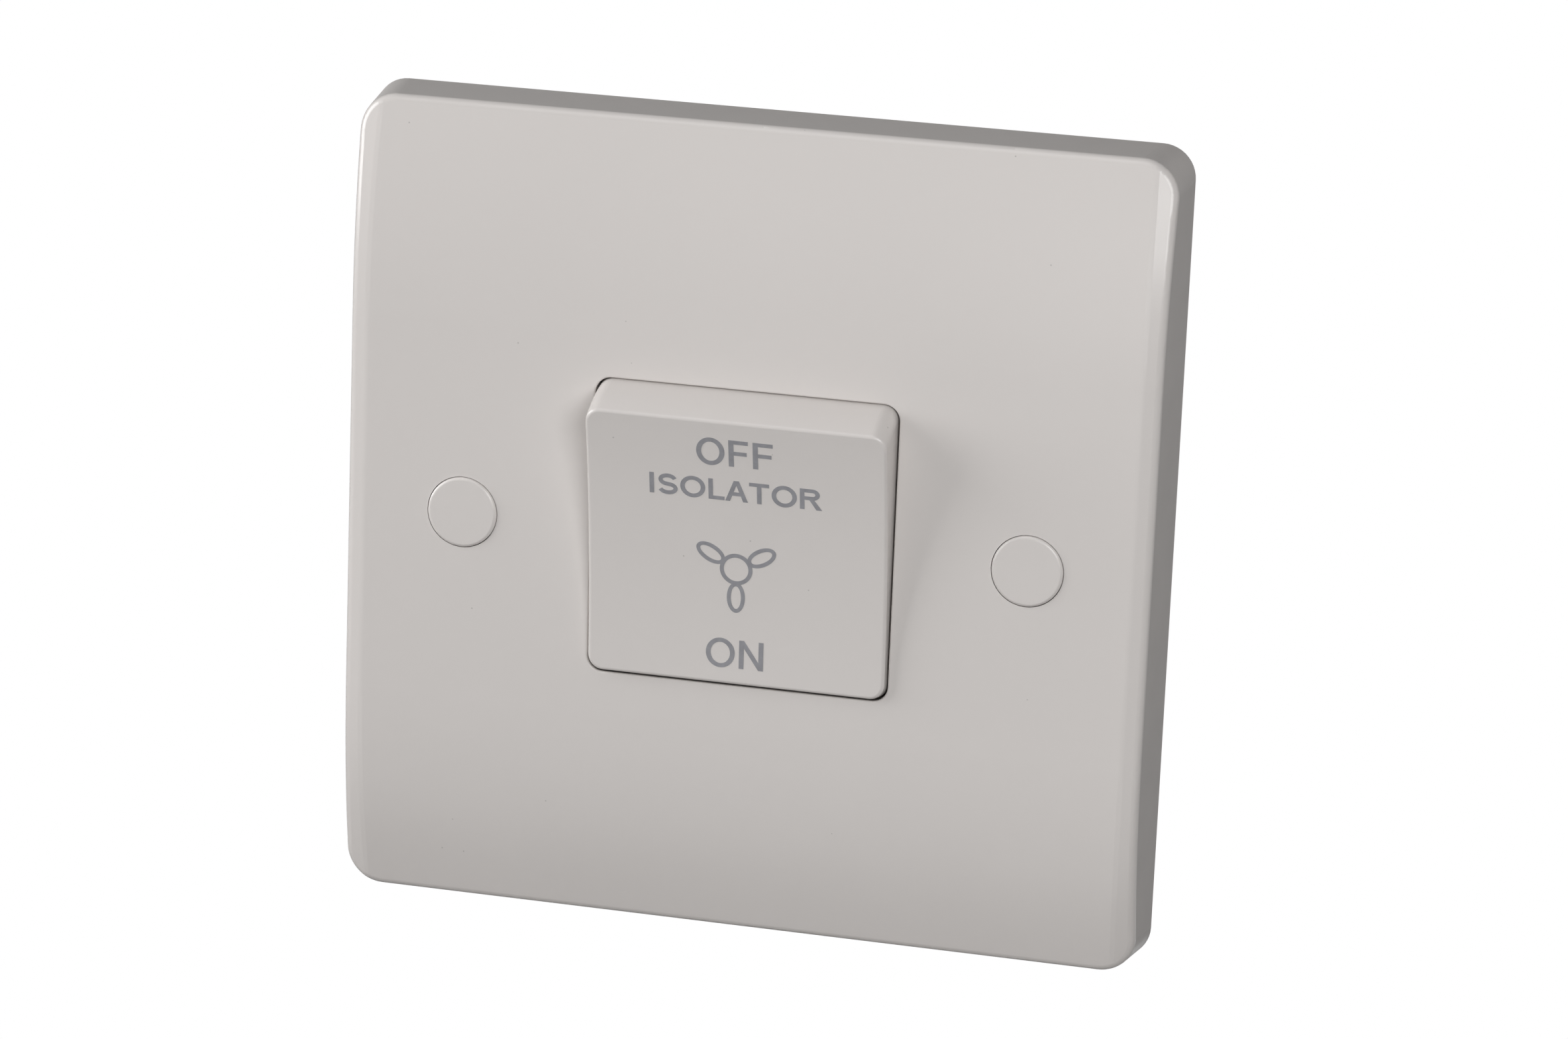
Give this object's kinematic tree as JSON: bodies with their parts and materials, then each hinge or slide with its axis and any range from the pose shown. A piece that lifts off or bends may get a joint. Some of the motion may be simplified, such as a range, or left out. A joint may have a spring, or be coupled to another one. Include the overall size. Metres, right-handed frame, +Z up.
{
  "type": "fan isolator switch",
  "caption": "Square moulded wall plate with a wide rocker and two screw caps; behind it a multi-pole switch base with clamp terminals that isolates an extractor fan.",
  "frame": {"origin": "centre of the plate's back rim, in the wall plane, midway between the fixing holes", "axes": "+X right seen from the front, +Y into the wall so the front faces -Y, +Z up"},
  "size_m": [0.087, 0.0329, 0.087],
  "materials": {
    "white_moulding": "glossy warm white moulding",
    "base_moulding": "satin off-white moulding",
    "plunger_nylon": "satin natural nylon",
    "terminal_brass": "drawn and machined brass",
    "contact_copper": "rolled copper alloy strip",
    "contact_silver": "silver contact alloy",
    "spring_steel": "drawn spring wire",
    "screw_steel": "bright zinc plated"
  },
  "bodies": {
    "base": {"front_plate": "white_moulding", "rear_housing": "base_moulding", "terminal_screws": "screw_steel", "housing_screws": "screw_steel", "feed_terminal_1": "terminal_brass", "load_terminal_1": "terminal_brass", "fixed_contact_1": "contact_silver", "feed_terminal_2": "terminal_brass", "load_terminal_2": "terminal_brass", "fixed_contact_2": "contact_silver", "feed_terminal_3": "terminal_brass", "load_terminal_3": "terminal_brass", "fixed_contact_3": "contact_silver"},
    "rocker": {"rocker": "white_moulding", "plunger_spring_1": "spring_steel", "plunger_spring_2": "spring_steel", "plunger_spring_3": "spring_steel"},
    "plunger_1": {"plunger_1": "plunger_nylon"},
    "contact_arm_1": {"contact_arm_1": "contact_copper", "moving_contact_1": "contact_silver"},
    "plunger_2": {"plunger_2": "plunger_nylon"},
    "contact_arm_2": {"contact_arm_2": "contact_copper", "moving_contact_2": "contact_silver"},
    "plunger_3": {"plunger_3": "plunger_nylon"},
    "contact_arm_3": {"contact_arm_3": "contact_copper", "moving_contact_3": "contact_silver"},
    "cap_left": {"screw_cap_left": "white_moulding"},
    "cap_right": {"screw_cap_right": "white_moulding"}
  },
  "joints": [
    {"name": "rocker_tilt", "type": "hinge", "parent": "base", "child": "rocker", "pos_m": [0, -0.0056, 0], "axis": [-1, 0, 0], "range_deg": [0, 16]},
    {"name": "contact_arm_1_swing", "type": "hinge", "parent": "base", "child": "contact_arm_1", "pos_m": [-0.01102, 0.00585, 0], "axis": [1, 0, 0], "range_deg": [0, 20]},
    {"name": "plunger_1_slide", "type": "slide", "parent": "rocker", "child": "plunger_1", "axis": [0, -0.9903, -0.1392], "range_m": [0, 0.0008], "stiffness_N_per_m": 300, "deforming": ["plunger_spring_1"]},
    {"name": "contact_arm_2_swing", "type": "hinge", "parent": "base", "child": "contact_arm_2", "pos_m": [0, 0.00585, 0], "axis": [1, 0, 0], "range_deg": [0, 20]},
    {"name": "plunger_2_slide", "type": "slide", "parent": "rocker", "child": "plunger_2", "axis": [0, -0.9903, -0.1392], "range_m": [0, 0.0008], "stiffness_N_per_m": 300, "deforming": ["plunger_spring_2"]},
    {"name": "contact_arm_3_swing", "type": "hinge", "parent": "base", "child": "contact_arm_3", "pos_m": [0.01102, 0.00585, 0], "axis": [1, 0, 0], "range_deg": [0, 20]},
    {"name": "plunger_3_slide", "type": "slide", "parent": "rocker", "child": "plunger_3", "axis": [0, -0.9903, -0.1392], "range_m": [0, 0.0008], "stiffness_N_per_m": 300, "deforming": ["plunger_spring_3"]},
    {"name": "cap_left_pull", "type": "slide", "parent": "base", "child": "cap_left", "axis": [0, -1, 0], "range_m": [0, 0.006]},
    {"name": "cap_right_pull", "type": "slide", "parent": "base", "child": "cap_right", "axis": [0, -1, 0], "range_m": [0, 0.006]}
  ],
  "couplings": [
    {"joint": "contact_arm_1_swing", "follows": "rocker_tilt", "ratio": 1.25},
    {"joint": "contact_arm_2_swing", "follows": "rocker_tilt", "ratio": 1.25},
    {"joint": "contact_arm_3_swing", "follows": "rocker_tilt", "ratio": 1.25}
  ]
}
